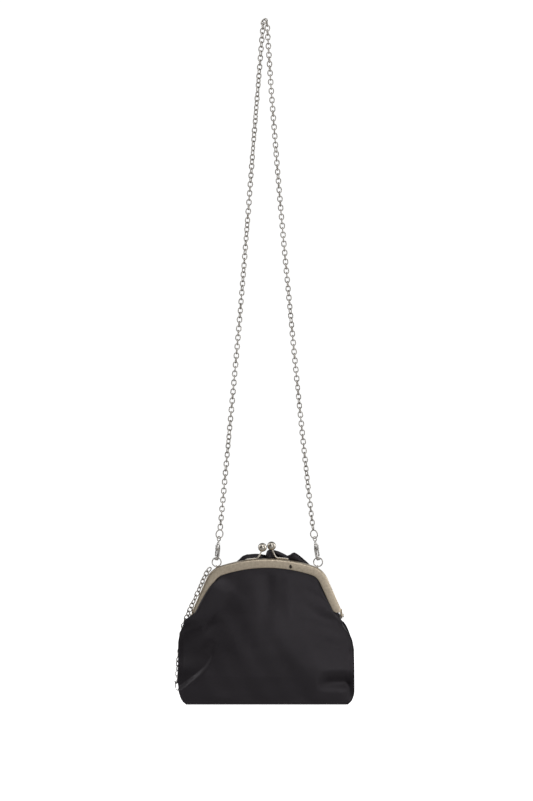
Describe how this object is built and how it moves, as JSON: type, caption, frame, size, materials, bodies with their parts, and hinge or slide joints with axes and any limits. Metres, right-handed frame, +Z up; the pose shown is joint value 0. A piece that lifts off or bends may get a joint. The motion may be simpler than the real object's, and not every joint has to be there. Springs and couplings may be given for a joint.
{
  "type": "evening bag",
  "caption": "Small satin evening bag with an arched kiss-lock metal frame, a bow on its front, and a cable-chain strap on swivel clasps.",
  "frame": {"origin": "top of the strap, where a hook, hand or shoulder holds it; the bag hangs below", "axes": "+Z up along the hanging strap, +X along the frame to the bag's left as seen from its front, +Y out of the front, where the bow is"},
  "size_m": [0.1987, 0.053, 0.752],
  "materials": {
    "brushed_nickel": "brushed, warm nickel",
    "bright_nickel": "polished nickel",
    "black_satin": "satin, soft sheen",
    "black_lining": "plain weave, matte",
    "paper_cord": "twisted paper, matte",
    "grey_board": "stiff board, matte"
  },
  "bodies": {
    "strap": {"strap_chain": "bright_nickel", "left_frame_ring": "bright_nickel", "right_frame_ring": "bright_nickel", "left_clasp_swivel_eye": "bright_nickel", "left_clasp_jump_ring": "bright_nickel", "right_clasp_swivel_eye": "bright_nickel", "right_clasp_jump_ring": "bright_nickel"},
    "bag": {"rear_frame": "brushed_nickel", "rear_channel_cord": "paper_cord", "rear_lock_stud": "bright_nickel", "left_ring_lug": "bright_nickel", "right_ring_lug": "bright_nickel", "left_hinge_rivet": "bright_nickel", "right_hinge_rivet": "bright_nickel", "rear_panel": "black_satin", "front_panel_lower": "black_satin", "rear_lining": "black_lining", "front_lining_lower": "black_lining", "left_gusset": "black_satin", "right_gusset": "black_satin", "left_gusset_lining": "black_lining", "right_gusset_lining": "black_lining", "base_panel": "black_satin", "base_board": "grey_board", "base_lining": "black_lining", "short_chain": "bright_nickel", "short_clasp_jump_ring": "bright_nickel", "short_clasp_swivel_eye": "bright_nickel"},
    "front_frame": {"front_frame": "brushed_nickel", "front_channel_cord": "paper_cord", "front_lock_stud": "bright_nickel", "front_panel_upper": "black_satin", "front_lining_upper": "black_lining", "bow_knot": "black_satin", "bow_left_loop": "black_satin", "bow_right_loop": "black_satin", "bow_left_tail": "black_satin", "bow_right_tail": "black_satin"},
    "left_clasp": {"left_clasp_body": "bright_nickel", "left_clasp_gate_pin": "bright_nickel"},
    "left_gate": {"left_clasp_gate": "bright_nickel"},
    "right_clasp": {"right_clasp_body": "bright_nickel", "right_clasp_gate_pin": "bright_nickel"},
    "right_gate": {"right_clasp_gate": "bright_nickel"},
    "short_clasp": {"short_clasp_body": "bright_nickel", "short_clasp_gate_pin": "bright_nickel"},
    "short_gate": {"short_clasp_gate": "bright_nickel"}
  },
  "joints": [
    {"name": "bag_swing", "type": "hinge", "parent": "strap", "child": "bag", "pos_m": [0.0022, -0.0035, -0.60475], "axis": [1, 0, 0], "range_deg": [-60, 40]},
    {"name": "front_frame_open", "type": "hinge", "parent": "bag", "child": "front_frame", "pos_m": [0.0022, 0, -0.6587], "axis": [-1, 0, 0], "range_deg": [0, 70], "deforming": ["front_panel_upper", "front_lining_upper"]},
    {"name": "left_clasp_swivel", "type": "hinge", "parent": "strap", "child": "left_clasp", "pos_m": [-0.0531, -0.0035, -0.59465], "axis": [0.1219, 0, 0.9925], "range_deg": [0, 44]},
    {"name": "left_clasp_gate_open", "type": "hinge", "parent": "left_clasp", "child": "left_gate", "pos_m": [-0.05296, -0.00628, -0.58429], "axis": [0.9203, -0.3746, -0.113], "range_deg": [0, 25], "stiffness_Nm_per_rad": 0.01, "springref_deg": -17.19},
    {"name": "right_clasp_swivel", "type": "hinge", "parent": "strap", "child": "right_clasp", "pos_m": [0.0583, -0.0035, -0.59465], "axis": [-0.1736, 0, 0.9848], "range_deg": [-44, 0]},
    {"name": "right_clasp_gate_open", "type": "hinge", "parent": "right_clasp", "child": "right_gate", "pos_m": [0.05762, -0.00628, -0.58431], "axis": [0.9131, 0.3746, 0.161], "range_deg": [0, 25], "stiffness_Nm_per_rad": 0.01, "springref_deg": -17.19},
    {"name": "short_clasp_swivel", "type": "hinge", "parent": "bag", "child": "short_clasp", "pos_m": [-0.0967, 0.0075, -0.7406], "axis": [0, 0, 1], "continuous": true},
    {"name": "short_clasp_gate_open", "type": "hinge", "parent": "short_clasp", "child": "short_gate", "pos_m": [-0.09839, 0.00653, -0.73391], "axis": [0.5, -0.866, 0], "range_deg": [0, 25], "stiffness_Nm_per_rad": 0.01, "springref_deg": -17.19}
  ]
}
